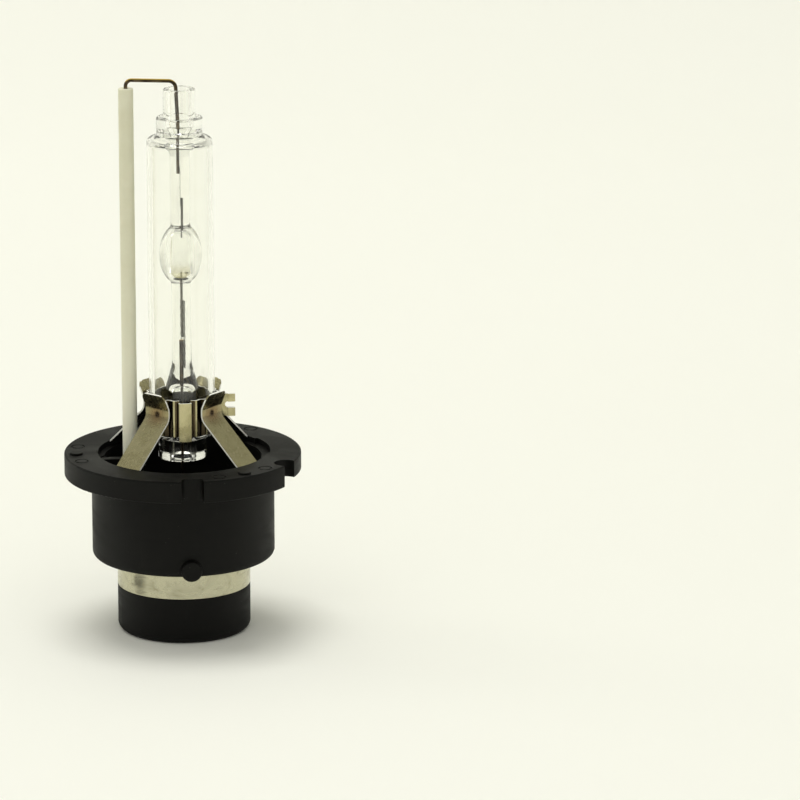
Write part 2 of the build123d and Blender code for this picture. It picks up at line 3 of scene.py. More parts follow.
import bmesh
import bpy
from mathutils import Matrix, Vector


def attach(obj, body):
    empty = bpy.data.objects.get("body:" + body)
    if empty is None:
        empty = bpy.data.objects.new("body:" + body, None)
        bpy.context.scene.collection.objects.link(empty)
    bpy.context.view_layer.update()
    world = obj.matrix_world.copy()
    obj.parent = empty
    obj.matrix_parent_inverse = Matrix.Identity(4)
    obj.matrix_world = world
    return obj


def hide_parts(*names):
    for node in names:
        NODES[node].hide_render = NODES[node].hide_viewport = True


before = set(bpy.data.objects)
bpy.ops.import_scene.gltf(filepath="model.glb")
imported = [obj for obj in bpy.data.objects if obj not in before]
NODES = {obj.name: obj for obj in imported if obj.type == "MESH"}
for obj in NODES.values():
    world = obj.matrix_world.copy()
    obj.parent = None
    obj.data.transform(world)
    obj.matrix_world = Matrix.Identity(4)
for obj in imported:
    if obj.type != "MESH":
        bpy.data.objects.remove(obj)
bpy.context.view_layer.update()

MM = 0.001

# --- Levels and sizes, in millimetres, in the lamp's own frame ------------------------------------------

LIGHT_CENTRE_Z = 27.1
ARC_GAP = 4.2
PLUG_BOTTOM_Z = -24.9
ENVELOPE_RADIUS = 4.42
ENVELOPE_INNER = 3.7
SHOULDER_Z = 42.95
UPPER_SEAL_Z = 43.95
LOWER_SEAL_Z = 2.35
RING_TOP_Z = 45.8
FOOT_Z = -1.0
FOOT_RADIUS = 3.3
FOOT_BORE = 1.26
FOOT_BORE_TOP_Z = 9.0
NECK_RADIUS = 2.18
NECK_BORE = 1.26
NECK_TOP_Z = 49.6
STEM_RADIUS = 1.33
BALL_RADIUS = 2.9
BALL_HALF = 3.8
STEM_START = 0.8
CAVITY_RADIUS = 1.3
CAVITY_HALF = 3.1
RETURN_X = -7.1
CERAMIC_RADIUS = 1.0
CERAMIC_BORE = 0.36
CERAMIC_TOP_Z = 49.8
CERAMIC_FOOT_Z = -3.79
WIRE_RADIUS = 0.25
SEALED_WIRE_RADIUS = 0.14
LOWER_LEAD_RADIUS = 0.19
ELECTRODE_RADIUS = 0.11
FOIL_HALF = 0.025
FOIL_WIDTH = 1.5
CONTACT_GAP = 0.01
TOP_Z = 50.9
BAND_RADIUS = 9.0
LUG_SHEET = 0.3
UPPER_FOIL = (33.8, 39.2)
LOWER_FOIL = (11.4, 20.8)
UPPER_TURN = math.radians(-5)
LOWER_TURN = math.radians(194)
LOWER_SHIFT = 0.19
UPPER_ROOT_Z = 34.8
LOWER_ROOT_Z = 15.8
SEALED_END_Z = 38.2
LOWER_LEAD_TOP_Z = 15.3
LOWER_LEAD_FOOT_Z = -20.85
LUG_BEND_TOP_Z = -9.2
LUG_BEND_FOOT_Z = -11.2
RETURN_FOOT_Z = -12.8
SALT_HEIGHT = 2.4
SALT_INSET = 0.02
BEAD_RADIUS = 0.2
BEAD_AT = (0.72, -0.35, LIGHT_CENTRE_Z - CAVITY_HALF + 0.92)
WELD_RADIUS = 5.2
WELD_Z = 5.9
FLUTES = 20.0

# Mesh fineness: facets round a turned surface, longest straight run, short run beside a corner
TURNS = 288
LONGEST_RUN = 1.0
RUN_GUARD = 0.05

# Angle between facets, in degrees, above which an edge of a CAD piece counts as an edge
EDGE_ANGLE = 32


# --- Mesh helpers ---------------------------------------------------------------------------------------


def new_object(name, vertices, faces, smooth_angle):
    """Object in the scene, built from vertices in millimetres."""
    mesh = bpy.data.meshes.new(name)
    mesh.from_pydata([Vector(v) * MM for v in vertices], [], faces)
    mesh.update()
    obj = bpy.data.objects.new(name, mesh)
    bpy.context.scene.collection.objects.link(obj)
    smooth(obj, smooth_angle)
    return obj


def smooth(obj, angle):
    """Smooth shading, kept sharp where facets meet at more than angle degrees."""
    obj.data.polygons.foreach_set("use_smooth", [True] * len(obj.data.polygons))
    obj.data.set_sharp_from_angle(angle=math.radians(angle))


def corner_arc(before, at, after, radius, steps):
    """Points of the arc that rounds the corner at `at`, in 2-D or 3-D."""
    at = Vector(at)
    a = (Vector(before) - at).normalized()
    b = (Vector(after) - at).normalized()
    half = a.angle(b) / 2
    reach = radius / math.tan(half)
    centre = at + (a + b).normalized() * (radius / math.sin(half))
    start, end = at + a * reach - centre, at + b * reach - centre
    return [centre + start.slerp(end, k / steps).normalized() * radius for k in range(steps + 1)]


def rounded(points, steps=8):
    """(r, z) outline in which each (r, z, radius) corner is an arc."""
    out = []
    for i, (r, z, *radius) in enumerate(points):
        if radius:
            arc = corner_arc(points[i - 1][:2], (r, z), points[i + 1][:2], radius[0], steps)
            out += [(p.x, p.y) for p in arc]
        else:
            out.append((r, z))
    return out


def divided(points):
    """Outline with its straight runs cut short, so that shading stays true beside a rounded corner."""
    out = [points[0]]
    for (r0, z0), (r1, z1) in zip(points, points[1:]):
        length = math.hypot(r1 - r0, z1 - z0)
        cuts = [RUN_GUARD / length, 1 - RUN_GUARD / length] if length > 3 * RUN_GUARD else []
        pieces = math.ceil(length / LONGEST_RUN)
        cuts += [k / pieces for k in range(1, pieces)]
        out += [(r0 + (r1 - r0) * t, z0 + (z1 - z0) * t) for t in sorted(cuts)]
        out.append((r1, z1))
    return out


def turned(name, outlines, smooth_angle, x=0.0, wobble=None):
    """Surface turned about an upright axis at x. Glass lies on the right of each outline's direction."""
    vertices, faces = [], []
    for outline in map(divided, outlines):
        base = len(vertices)
        for r, z in outline:
            for j in range(TURNS):
                a = 2 * math.pi * j / TURNS
                s = r * (1 + wobble(z, a)) if wobble else r
                vertices.append((x + s * math.cos(a), s * math.sin(a), z))
        for i in range(len(outline) - 1):
            for j in range(TURNS):
                k = (j + 1) % TURNS
                p, q = base + i * TURNS, base + (i + 1) * TURNS
                faces.append((p + j, q + j, q + k, p + k))
    obj = new_object(name, vertices, faces, smooth_angle)
    bm = bmesh.new()
    bm.from_mesh(obj.data)
    bmesh.ops.remove_doubles(bm, verts=bm.verts, dist=1e-7)
    bmesh.ops.dissolve_degenerate(bm, edges=bm.edges, dist=1e-8)
    bm.to_mesh(obj.data)
    bm.free()
    smooth(obj, smooth_angle)
    return obj


def bent(points, bends, steps=10):
    """3-D polyline with rounded bends."""
    path = [Vector(points[0])]
    for i, bend in enumerate(bends, 1):
        path += corner_arc(points[i - 1], points[i], points[i + 1], bend, steps)
    return path + [Vector(points[-1])]


def round_wire(name, path, radius, sides=20, round_ends=0.4):
    """Round wire along a polyline, with rounded-over ends."""
    path = [Vector(p) for p in path]
    rings = []
    side = Vector((0, 1, 0))
    for i, p in enumerate(path):
        ahead = (path[min(i + 1, len(path) - 1)] - path[max(i - 1, 0)]).normalized()
        side = (side - ahead * side.dot(ahead)).normalized()
        rings.append((p, side.copy(), ahead.cross(side), 1.0))
    first, last = rings[0], rings[-1]
    out_a = (path[0] - path[1]).normalized()
    out_b = (path[-1] - path[-2]).normalized()
    cap_steps = 4
    start_cap, end_cap = [], []
    for k in range(1, cap_steps + 1):
        t = math.pi / 2 * k / cap_steps
        push, shrink = round_ends * radius * math.sin(t), max(math.cos(t), 0.02)
        start_cap.insert(0, (first[0] + out_a * push, first[1], first[2], shrink))
        end_cap.append((last[0] + out_b * push, last[1], last[2], shrink))
    rings = start_cap + rings + end_cap
    vertices, faces = [], []
    for p, u, v, scale in rings:
        for j in range(sides):
            a = 2 * math.pi * j / sides
            vertices.append(p + (u * math.cos(a) + v * math.sin(a)) * radius * scale)
    for i in range(len(rings) - 1):
        for j in range(sides):
            k = (j + 1) % sides
            faces.append((i * sides + j, i * sides + k, (i + 1) * sides + k, (i + 1) * sides + j))
    faces.append(tuple(range(sides - 1, -1, -1)))
    faces.append(tuple((len(rings) - 1) * sides + j for j in range(sides)))
    return new_object(name, vertices, faces, 60)


def stand_for(obj, node, material):
    """obj is shown in place of a CAD node."""
    obj.data.materials.clear()
    obj.data.materials.append(material)
    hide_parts(node)
    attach(obj, "root")


# --- Node-tree helpers ----------------------------------------------------------------------------------


class Nodes:
    """Small wrapper that builds a node tree from function-like calls."""

    def __init__(self, tree):
        self.tree = tree
        self.tree.nodes.clear()

    def add(self, kind, inputs=None, **settings):
        node = self.tree.nodes.new(kind)
        for key, value in settings.items():
            setattr(node, key, value)
        for key, value in (inputs or {}).items():
            self.put(node.inputs[key], value)
        return node

    def put(self, socket, value):
        if isinstance(value, bpy.types.NodeSocket):
            self.tree.links.new(value, socket)
        elif socket.type == "RGBA" and len(value) == 3:
            socket.default_value = (*value, 1.0)
        else:
            socket.default_value = value

    def ramp(self, value, low, high, to_low=0.0, to_high=1.0):
        """Smoothly remaps value from [low, high] to [to_low, to_high]."""
        return self.add("ShaderNodeMapRange", {
            "Value": value, "From Min": low, "From Max": high, "To Min": to_low, "To Max": to_high,
        }, interpolation_type="SMOOTHSTEP").outputs["Result"]

    def math(self, operation, a, b=0.0):
        """Result of one arithmetic node."""
        return self.add("ShaderNodeMath", {0: a, 1: b}, operation=operation).outputs[0]

    def mix(self, factor, a, b):
        """Colour mix of a and b."""
        node = self.add("ShaderNodeMix", data_type="RGBA")
        for socket, value in ((node.inputs[0], factor), (node.inputs[6], a), (node.inputs[7], b)):
            self.put(socket, value)
        return node.outputs[2]


class Shade(Nodes):
    """Node material, with its patterns laid out in the lamp's own frame."""

    def __init__(self, name):
        self.material = bpy.data.materials.new(name)
        self.material.use_nodes = True
        super().__init__(self.material.node_tree)
        self.place = self.add("ShaderNodeTexCoord").outputs["Object"]

    def stretched(self, scale):
        """Object coordinates multiplied per axis."""
        return self.add("ShaderNodeMapping", {"Vector": self.place, "Scale": scale}).outputs["Vector"]

    def noise(self, scale, detail=3.0, rough=0.55, vector=None, distortion=0.0):
        node = self.add("ShaderNodeTexNoise", {
            "Vector": vector or self.place, "Scale": scale, "Detail": detail, "Roughness": rough,
            "Distortion": distortion,
        })
        return node.outputs["Fac"]

    def axis(self, index):
        return self.add("ShaderNodeSeparateXYZ", {"Vector": self.place}).outputs[index]

    def flat(self):
        """Place with its height dropped."""
        return self.add("ShaderNodeCombineXYZ", {0: self.axis(0), 1: self.axis(1)}).outputs[0]

    def from_axis(self):
        """Distance from the lamp axis."""
        return self.add("ShaderNodeVectorMath", {0: self.flat()}, operation="LENGTH").outputs["Value"]

    def bump(self, height, depth_mm, strength=1.0, below=None):
        inputs = {"Height": height, "Distance": depth_mm * MM, "Strength": strength}
        if below is not None:
            inputs["Normal"] = below
        return self.add("ShaderNodeBump", inputs).outputs["Normal"]

    def surface(self, **inputs):
        """Principled surface. Underscores in the names stand for spaces."""
        node = self.add("ShaderNodeBsdfPrincipled")
        for key, value in inputs.items():
            self.put(node.inputs[key.replace("_", " ")], value)
        return node.outputs["BSDF"]

    def finish(self, shader):
        self.add("ShaderNodeOutputMaterial", {"Surface": shader})
        return self.material


# --- Materials ------------------------------------------------------------------------------------------


def moulded_plastic(name, tone, roughness):
    """Glass-filled black thermoplastic: fine grain, faint flow marks, rub marks and a little dust."""
    s = Shade(name)
    grain = s.noise(5200, 4, 0.6)
    flow = s.noise(120, 4, 0.5, s.stretched((1.0, 1.0, 3.0)), 1.2)
    rub = s.noise(900, 5, 0.65, s.stretched((1.0, 1.0, 0.12)))
    rubbed = s.ramp(rub, 0.6, 0.74)
    cells = s.add("ShaderNodeTexVoronoi", {"Vector": s.place, "Scale": 1500.0, "Randomness": 1.0})
    specks = cells.outputs["Distance"]
    dust = s.math("MULTIPLY", s.ramp(specks, 0.10, 0.04), s.ramp(s.noise(260, 2), 0.52, 0.66))
    base = s.mix(s.ramp(flow, 0.3, 0.7), tone, tuple(c * 1.5 for c in tone))
    base = s.mix(s.math("MULTIPLY", rubbed, 0.35), base, tuple(c * 3.2 for c in tone))
    base = s.mix(s.math("MULTIPLY", dust, 0.5), base, (0.16, 0.155, 0.13))
    rough = s.math("ADD", s.ramp(flow, 0.3, 0.7, roughness - 0.05, roughness + 0.06),
                   s.math("MULTIPLY", rubbed, -0.07))
    normal = s.bump(s.ramp(flow, 0.2, 0.8), 0.02, 0.3)
    normal = s.bump(grain, 0.014, 0.5, normal)
    # Glass fibres near the surface break up the sheen at shallow angles
    facing = s.add("ShaderNodeLayerWeight", {"Blend": 0.5}).outputs["Facing"]
    return s.finish(s.surface(
        Base_Color=base, Roughness=rough, Normal=normal,
        Specular_IOR_Level=s.ramp(facing, 0.25, 0.78, 0.13, 0.05),
    ))


def sheet_steel(name, light, dark, fluted=False):
    """Rolled spring strip: khaki tint, rolling lines, painted highlight on the cut edges, brown heat
    round the welds; fluted, painted shade in the flutes.
    """
    s = Shade(name)
    x, y, z = s.axis(0), s.axis(1), s.axis(2)
    lines = s.noise(900, 3, 0.6, s.stretched((3.0, 3.0, 0.35)))
    fine = s.noise(4200, 2, 0.5, s.stretched((2.0, 2.0, 0.2)))
    cloud = s.noise(380, 4, 0.6, distortion=0.6)
    # The four welds lie at the same place in each quadrant
    reach = WELD_RADIUS * MM * math.cos(math.pi / 4)
    offset = s.add("ShaderNodeCombineXYZ", {
        0: s.math("SUBTRACT", s.math("ABSOLUTE", x), reach),
        1: s.math("SUBTRACT", s.math("ABSOLUTE", y), reach),
        2: s.math("SUBTRACT", z, WELD_Z * MM),
    }).outputs[0]
    away = s.add("ShaderNodeVectorMath", {0: offset}, operation="LENGTH").outputs["Value"]
    blurred = s.math("ADD", away, s.math("MULTIPLY", s.math("SUBTRACT", cloud, 0.5), 1.6 * MM))
    halo = s.ramp(blurred, 2.6 * MM, 0.5 * MM)
    core = s.ramp(away, 0.62 * MM, 0.26 * MM)
    base = s.mix(s.ramp(cloud, 0.32, 0.7), light, dark)
    base = s.mix(s.ramp(lines, 0.45, 0.75, 0.0, 0.16), base, (0.58, 0.54, 0.36))
    base = s.mix(s.math("MULTIPLY", halo, 0.8), base, (0.20, 0.13, 0.06))
    base = s.mix(s.math("MULTIPLY", core, 0.85), base, (0.045, 0.03, 0.02))
    if fluted:
        # Painted shade and highlight: the flutes are painted dark. Only a narrow line along each crest,
        # the tongue and the ears keep the bright steel, which paints the crest highlights
        turn = s.math("ARCTAN2", y, x)
        crest_highlight = s.ramp(s.math("COSINE", s.math("MULTIPLY", turn, FLUTES)), 0.72, 0.97)
        narrow = s.ramp(s.math("ABSOLUTE", x), 0.86 * MM, 0.78 * MM)
        tongue = s.math("MULTIPLY", narrow, s.ramp(y, 0.0, -4.6 * MM))
        ears = s.ramp(s.from_axis(), 4.97 * MM, 5.05 * MM)
        spared_from_flute_shade = s.math("MAXIMUM", s.math("MAXIMUM", crest_highlight, tongue), ears)
        streak = s.ramp(lines, 0.35, 0.7, 0.0, 0.35)
        # Dark colour of the painted flute shade
        oxide_and_flute_shade = s.mix(streak, (0.045, 0.035, 0.02), (0.22, 0.17, 0.10))
        base = s.mix(spared_from_flute_shade, oxide_and_flute_shade, base)
    normal_at = s.add("ShaderNodeNewGeometry").outputs["True Normal"]
    level = s.add("ShaderNodeSeparateXYZ", {"Vector": normal_at}).outputs[2]
    spoke = s.add("ShaderNodeVectorMath", {0: s.flat()}, operation="NORMALIZE").outputs[0]
    dot = s.add("ShaderNodeVectorMath", {0: normal_at, 1: spoke}, operation="DOT_PRODUCT")
    outward = dot.outputs["Value"]
    # Painted highlight: faces pointing up, and on unfluted strips the side faces, are painted near white
    # above z = -1 mm
    upward_face_highlight = s.ramp(level, 0.80, 0.86)
    side_face_highlight = s.math("MULTIPLY", s.ramp(s.math("ABSOLUTE", outward), 0.5, 0.35),
                       s.ramp(s.math("ABSOLUTE", level), 0.35, 0.2))
    cut = upward_face_highlight if fluted else s.math("MAXIMUM", upward_face_highlight, side_face_highlight)
    cut = s.math("MULTIPLY", cut, s.ramp(z, -1.1 * MM, -0.9 * MM))
    base = s.mix(cut, base, (0.98, 0.97, 0.90))
    rough = s.ramp(s.math("ADD", s.math("MULTIPLY", cloud, 0.6), s.math("MULTIPLY", lines, 0.4)),
                   0.3, 0.7, 0.17, 0.31)
    normal = s.bump(lines, 0.006, 0.1)
    normal = s.bump(fine, 0.002, 0.1, normal)
    # Painted highlight: the cut edges are also made non-metallic, so they show bright instead of
    # mirroring the dark housing
    mirror = s.math("SUBTRACT", 1.0, cut)
    return s.finish(s.surface(Base_Color=base, Metallic=mirror, Roughness=rough, Normal=normal))


def contact_metal(name, tone, stain, dark_patch_at=None):
    """Satin plated contact: turning or drawing lines round the axis, stains, dark marks and, where a
    point is given, a ragged darker patch.
    """
    s = Shade(name)
    lines = s.noise(1000, 3, 0.6, s.stretched((0.25, 0.25, 9.0)))
    stains = s.noise(230, 5, 0.62, s.stretched((1.0, 1.0, 1.6)), 1.5)
    marks = s.noise(420, 4, 0.7, s.stretched((0.5, 0.5, 3.0)), 0.6)
    base = s.mix(s.ramp(stains, 0.52, 0.75, 0.0, 0.8), tone, stain)
    base = s.mix(s.ramp(marks, 0.6, 0.72, 0.0, 0.45), base, tuple(c * 0.4 for c in tone))
    if dark_patch_at:
        # Ragged darker patch round the given point
        dark_patch_point = Vector(dark_patch_at) * MM
        away = s.add("ShaderNodeVectorMath", {0: s.place, 1: dark_patch_point}, operation="DISTANCE")
        ragged = s.math("MULTIPLY", s.math("SUBTRACT", stains, 0.5), 4.0 * MM)
        edge = s.math("ADD", away.outputs["Value"], ragged)
        base = s.mix(s.ramp(edge, 1.7 * MM, 0.5 * MM, 0.0, 0.8), base, tuple(c * 0.2 for c in tone))
    rough = s.ramp(stains, 0.3, 0.72, 0.2, 0.4)
    normal = s.bump(lines, 0.006, 0.6)
    normal = s.bump(stains, 0.05, 0.25, normal)
    return s.finish(s.surface(Base_Color=base, Metallic=1.0, Roughness=rough, Normal=normal))


def wire_metal(name, dark, light, roughness, painted_top_glint=None):
    """Drawn wire with die lines and patchy oxidation; the optional last colour is a golden highlight
    painted on its upward faces.
    """
    s = Shade(name)
    lines = s.noise(2500, 3, 0.6, s.stretched((5.0, 5.0, 0.6)))
    oxide_and_flute_shade = s.noise(700, 4, 0.6, distortion=0.5)
    base = s.mix(s.ramp(oxide_and_flute_shade, 0.35, 0.68), dark, light)
    if painted_top_glint:
        # Painted highlight: upward-facing surfaces are tinted with the golden colour
        normal_at = s.add("ShaderNodeNewGeometry").outputs["Normal"]
        level = s.add("ShaderNodeSeparateXYZ", {"Vector": normal_at}).outputs[2]
        base = s.mix(s.ramp(level, 0.35, 0.8, 0.0, 0.9), base, painted_top_glint)
    rough = s.ramp(oxide_and_flute_shade, 0.3, 0.7, roughness, roughness + 0.14)
    normal = s.bump(lines, 0.006, 0.5)
    return s.finish(s.surface(Base_Color=base, Metallic=1.0, Roughness=rough, Normal=normal))


def ceramic(name):
    """Unglazed fired alumina: faint mottling, grain, handling smudges, extrusion lines, and painted light
    towards the foot.
    """
    s = Shade(name)
    mottle = s.noise(260, 4, 0.55)
    grain = s.noise(4800, 3, 0.6)
    smudge = s.noise(150, 4, 0.6, s.stretched((1.0, 1.0, 0.35)), 0.8)
    draw = s.noise(1400, 2, 0.5, s.stretched((4.0, 4.0, 0.06)))
    base = s.mix(s.ramp(mottle, 0.3, 0.7), (0.79, 0.775, 0.60), (0.74, 0.72, 0.54))
    # Painted light: lighter towards the foot, offsetting the shade there from the housing and legs
    base = s.mix(s.ramp(s.axis(2), 30 * MM, -2 * MM, 0.0, 0.9), base, (0.94, 0.925, 0.76))
    base = s.mix(s.ramp(smudge, 0.6, 0.78, 0.0, 0.3), base, (0.55, 0.51, 0.36))
    normal = s.bump(draw, 0.01, 0.3)
    normal = s.bump(grain, 0.01, 0.45, normal)
    return s.finish(s.surface(
        Base_Color=base, Roughness=s.ramp(mottle, 0.3, 0.7, 0.5, 0.62), Normal=normal,
        Subsurface_Weight=0.15, Subsurface_Radius=(0.0006, 0.0005, 0.0004), Subsurface_Scale=1.0,
    ))


def quartz(name, ripple, tint):
    """Clear fused quartz: slight draw ripple, faint tint; soft light passes straight through it."""
    s = Shade(name)
    draw = s.noise(240, 2, 0.5, s.stretched((2.2, 2.2, 0.10)))
    swell = s.noise(110, 2, 0.5)
    # Ripple fades out where the wall is seen edge-on, so the edge lines stay straight
    facing = s.add("ShaderNodeLayerWeight", {"Blend": 0.5}).outputs["Facing"]
    calm = s.ramp(facing, 0.2, 0.55, 0.5, 0.0)
    normal = s.bump(draw, 0.02 * ripple, calm)
    normal = s.bump(swell, 0.05 * ripple, calm, normal)
    haze = s.ramp(s.noise(190, 4, 0.6, s.stretched((1.0, 1.0, 0.5)), 1.0), 0.5, 0.8)
    base = s.mix(haze, (0.99, 0.992, 0.972), (0.965, 0.967, 0.93))
    glass = s.surface(Base_Color=base, Roughness=0.0, IOR=1.459, Transmission_Weight=1.0, Normal=normal)
    clear = s.add("ShaderNodeBsdfTransparent", {"Color": tint}).outputs[0]
    path = s.add("ShaderNodeLightPath").outputs
    soft_ray = s.math("MAXIMUM", path["Is Shadow Ray"], path["Is Diffuse Ray"])
    return s.finish(s.add("ShaderNodeMixShader", {0: soft_ray, 1: glass, 2: clear}).outputs[0])


def salt_film(name):
    """Translucent yellow salt film, thick at the cavity's bottom and breaking up towards its rim."""
    s = Shade(name)
    patches = s.noise(1100, 5, 0.65, distortion=1.0)
    low = (LIGHT_CENTRE_Z - CAVITY_HALF) * MM
    rise = s.ramp(s.axis(2), low + 0.5 * MM, low + 2.3 * MM, 0.34, 0.0)
    cover = s.math("MULTIPLY", rise, s.ramp(patches, 0.25, 0.7, 0.55, 1.5))
    solid = s.surface(Base_Color=s.mix(patches, (0.75, 0.62, 0.22), (0.9, 0.82, 0.5)), Roughness=0.45,
                      Transmission_Weight=0.35, IOR=1.3, Normal=s.bump(patches, 0.05, 0.6))
    clear = s.add("ShaderNodeBsdfTransparent").outputs[0]
    return s.finish(s.add("ShaderNodeMixShader", {0: cover, 1: clear, 2: solid}).outputs[0])


def foil_metal(name):
    """Etched molybdenum foil, grey with crosswise creases and darker feather edges."""
    s = Shade(name)
    crease = s.noise(800, 4, 0.6, s.stretched((1.0, 1.0, 2.2)), 0.8)
    base = s.mix(s.ramp(crease, 0.35, 0.65), (0.58, 0.58, 0.54), (0.80, 0.80, 0.75))
    base = s.mix(s.ramp(s.from_axis(), 0.52 * MM, 0.62 * MM), base, (0.16, 0.16, 0.15))
    normal = s.bump(crease, 0.05, 0.6)
    return s.finish(s.surface(Base_Color=base, Metallic=1.0, Roughness=0.36, Normal=normal))


def mercury(name):
    """Condensed mercury: dark mirror under a mottled skin."""
    s = Shade(name)
    skin = s.noise(2500, 3)
    return s.finish(s.surface(
        Base_Color=s.mix(skin, (0.16, 0.16, 0.15), (0.30, 0.30, 0.28)), Metallic=1.0,
        Roughness=s.ramp(skin, 0.3, 0.7, 0.12, 0.3), Normal=s.bump(skin, 0.02, 0.3),
    ))


HOUSING = moulded_plastic("moulded_black", (0.0034, 0.0034, 0.0029), 0.46)
PLUG = moulded_plastic("moulded_black_plug", (0.0028, 0.0028, 0.0025), 0.48)
STEEL = sheet_steel("spring_steel", (0.405, 0.37, 0.215), (0.315, 0.285, 0.155))
COLLAR_STEEL = sheet_steel("collar_steel", (0.53, 0.485, 0.285), (0.41, 0.37, 0.20), fluted=True)
BAND = contact_metal("contact_band", (0.50, 0.48, 0.35), (0.27, 0.245, 0.15), (-6.5, -6.2, -16.9))
PIN = contact_metal("contact_pin", (0.60, 0.56, 0.42), (0.42, 0.37, 0.25))
# The lead wire's last colour is the golden highlight painted on its upper side
LEAD = wire_metal("lead_wire", (0.045, 0.034, 0.024), (0.17, 0.13, 0.075), 0.3, (0.85, 0.60, 0.12))
TUNGSTEN = wire_metal("tungsten", (0.13, 0.125, 0.11), (0.24, 0.23, 0.2), 0.34)
FOIL = foil_metal("foil")
CERAMIC = ceramic("ceramic")
ENVELOPE_GLASS = quartz("envelope_glass", 0.45, (0.97, 0.975, 0.955))
BURNER_GLASS = quartz("burner_glass", 0.5, (0.97, 0.97, 0.94))
SALT = salt_film("halide_salt")
MERCURY = mercury("mercury")


# --- CAD pieces shown as they are, with rounded edges ---------------------------------------------------


def dress(node, material, edge_mm):
    """Material, smooth shading and small rounded edges for a CAD node."""
    obj = NODES[node]
    obj.data.materials.clear()
    obj.data.materials.append(material)
    smooth(obj, EDGE_ANGLE)
    if edge_mm:
        bevel = obj.modifiers.new("edges", "BEVEL")
        bevel.width = edge_mm * MM
        bevel.segments = 2
        bevel.limit_method = "ANGLE"
        bevel.angle_limit = math.radians(EDGE_ANGLE)
        bevel.harden_normals = False
        weighted = obj.modifiers.new("normals", "WEIGHTED_NORMAL")
        weighted.keep_sharp = False
        weighted.weight = 80


dress("base_housing", HOUSING, 0.07)
dress("connector_plug", PLUG, 0.05)
dress("return_contact_ring", BAND, 0.03)
dress("centre_contact_pin", PIN, 0.03)
dress("clamp_collar", COLLAR_STEEL, 0.03)
dress("leg_anchor_ring", STEEL, 0)
for leg in ("leg_front_left", "leg_front_right", "leg_rear_right", "leg_rear_left"):
    dress(leg, STEEL, 0.035)

# --- Glass ----------------------------------------------------------------------------------------------


def fire_polish(z, angle):
    """Slight out-of-round of hand-formed glass."""
    return 0.004 * math.sin(2 * angle + z * 0.13) + 0.003 * math.sin(3 * angle - z * 0.31)


outside = rounded([
    (NECK_RADIUS, RING_TOP_Z),
    (3.12, RING_TOP_Z + 0.02, 0.28),
    (3.06, SHOULDER_Z + 0.25, 0.35),
    (ENVELOPE_RADIUS, SHOULDER_Z, 0.75),
    (ENVELOPE_RADIUS, 2.0, 0.7),
    (FOOT_RADIUS - 0.1, 2.1, 0.3),
    (FOOT_RADIUS - 0.08, FOOT_Z + 1.1, 0.8),
    (FOOT_RADIUS, FOOT_Z + 0.5, 0.3),
    (FOOT_RADIUS - 0.02, FOOT_Z, 0.24),
    (NECK_RADIUS, FOOT_Z),
], 10)
inside = rounded([
    (NECK_RADIUS, LOWER_SEAL_Z),
    (ENVELOPE_INNER, 2.9, 0.5),
    (ENVELOPE_INNER, SHOULDER_Z - 0.75, 0.55),
    (2.75, SHOULDER_Z - 0.1, 0.35),
    (2.5, SHOULDER_Z + 0.9, 0.18),
    (NECK_RADIUS, UPPER_SEAL_Z),
], 10)
envelope = turned("outer_envelope_glass", [outside, inside], wobble=fire_polish, smooth_angle=55)
stand_for(envelope, "outer_envelope", ENVELOPE_GLASS)


def ball_outline():
    """Burner's bulb and its small fillets into the stems."""
    stretch = math.sqrt(1 - (STEM_RADIUS / BALL_RADIUS) ** 2)
    steps, hidden, blend = 48, 3, 0.7
    out = []
    for k in range(hidden, steps - hidden + 1):
        z = BALL_HALF * (1 - 2 * k / steps)
        out.append((BALL_RADIUS * math.sqrt(1 - (z / BALL_HALF * stretch) ** 2), LIGHT_CENTRE_Z + z))
    top, bottom = LIGHT_CENTRE_Z + BALL_HALF, LIGHT_CENTRE_Z - BALL_HALF
    upper = rounded([(STEM_RADIUS, top + STEM_START), (STEM_RADIUS, top, blend), out[0]])
    lower = rounded([out[-1], (STEM_RADIUS, bottom, blend), (STEM_RADIUS, bottom - STEM_START)])
    return upper + out[1:-1] + lower


neck = rounded([
    (0.0, 43.25),
    (0.7, 43.3, 0.3),
    (NECK_BORE, 44.6, 0.9),
    (NECK_BORE, NECK_TOP_Z, 0.22),
    (NECK_RADIUS, NECK_TOP_Z, 0.22),
    (NECK_RADIUS, RING_TOP_Z),
])
upper_stem = rounded([
    (NECK_RADIUS, UPPER_SEAL_Z),
    (NECK_RADIUS - 0.05, 43.2, 0.6),
    (STEM_RADIUS, 40.6, 1.6),
    (STEM_RADIUS + 0.03, 36.0),
    (STEM_RADIUS, LIGHT_CENTRE_Z + BALL_HALF + STEM_START),
])
lower_stem = rounded([
    (STEM_RADIUS, LIGHT_CENTRE_Z - BALL_HALF - STEM_START),
    (STEM_RADIUS - 0.05, 18.0),
    (STEM_RADIUS, 12.0, 3.0),
    (NECK_RADIUS, 8.9, 2.5),
    (NECK_RADIUS, LOWER_SEAL_Z),
])
foot = rounded([
    (NECK_RADIUS, FOOT_Z),
    (FOOT_BORE, FOOT_Z, 0.2),
    (FOOT_BORE, FOOT_BORE_TOP_Z, 0.85),
    (0.0, FOOT_BORE_TOP_Z),
])
cavity = rounded([
    (0.0, LIGHT_CENTRE_Z - CAVITY_HALF),
    (CAVITY_RADIUS, LIGHT_CENTRE_Z - CAVITY_HALF, 1.0),
    (CAVITY_RADIUS, LIGHT_CENTRE_Z + CAVITY_HALF, 1.15),
    (0.0, LIGHT_CENTRE_Z + CAVITY_HALF),
], 14)
burner = turned("arc_tube_glass", [neck, upper_stem, ball_outline(), lower_stem, foot, cavity],
                wobble=fire_polish, smooth_angle=50)
stand_for(burner, "arc_tube", BURNER_GLASS)

# --- Wires, electrodes, foils ---------------------------------------------------------------------------


def beside_foil(radius, turn, shift=0.0):
    """Centre of a rod that lies against a foil's flat side."""
    offset = FOIL_HALF + radius + CONTACT_GAP - shift
    return offset * math.cos(turn), offset * math.sin(turn)


